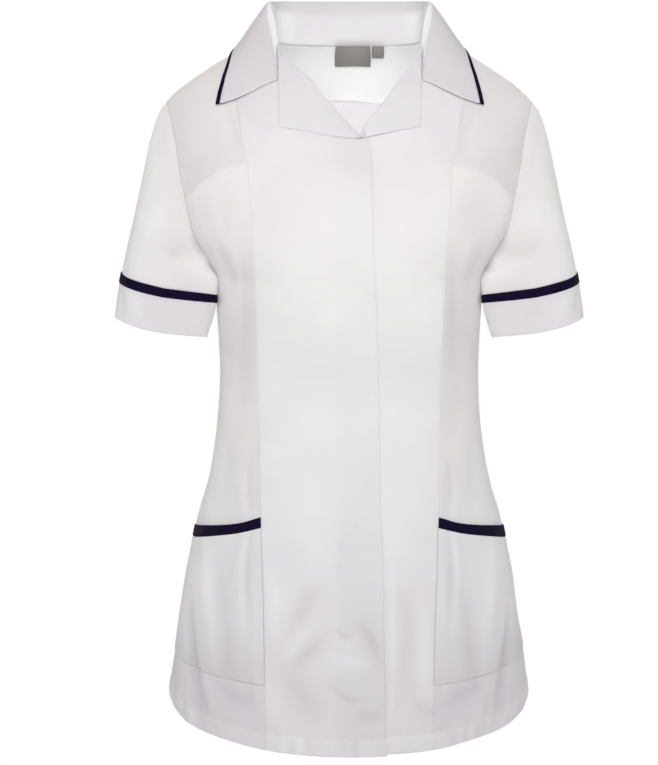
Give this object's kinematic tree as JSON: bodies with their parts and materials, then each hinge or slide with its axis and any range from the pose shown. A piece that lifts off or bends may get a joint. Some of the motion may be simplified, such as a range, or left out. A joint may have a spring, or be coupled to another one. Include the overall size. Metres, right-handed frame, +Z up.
{
  "type": "revere collar tunic",
  "caption": "White short-sleeved work tunic with a revere collar, princess seams, patch pockets and navy trims, filled out and hollow as worn.",
  "frame": {"origin": "midway between the two points where the shoulder seams meet the neck seam, where the wearer's shoulders and neck hold the garment", "axes": "+X towards the wearer's left, +Y towards the wearer's back, +Z up"},
  "size_m": [0.49, 0.2664, 0.7643],
  "materials": {
    "white_twill": "matt polyester-cotton twill",
    "navy_twill": "matt navy binding",
    "grey_label": "smooth woven label, left bare"
  },
  "bodies": {
    "root": {"back": "white_twill", "front_left": "white_twill", "front_right": "white_twill", "side_front_left": "white_twill", "side_front_right": "white_twill", "sleeve_left": "white_twill", "sleeve_right": "white_twill", "cuff_left": "white_twill", "cuff_right": "white_twill", "cuff_trim_left": "navy_twill", "cuff_trim_right": "navy_twill", "collar": "white_twill", "collar_trim": "navy_twill", "lapel_left": "white_twill", "lapel_right": "white_twill", "pocket_left": "white_twill", "pocket_right": "white_twill", "pocket_trim_left": "navy_twill", "pocket_trim_right": "navy_twill", "back_neck_facing": "white_twill", "label_main": "grey_label", "label_size": "grey_label"}
  },
  "joints": []
}
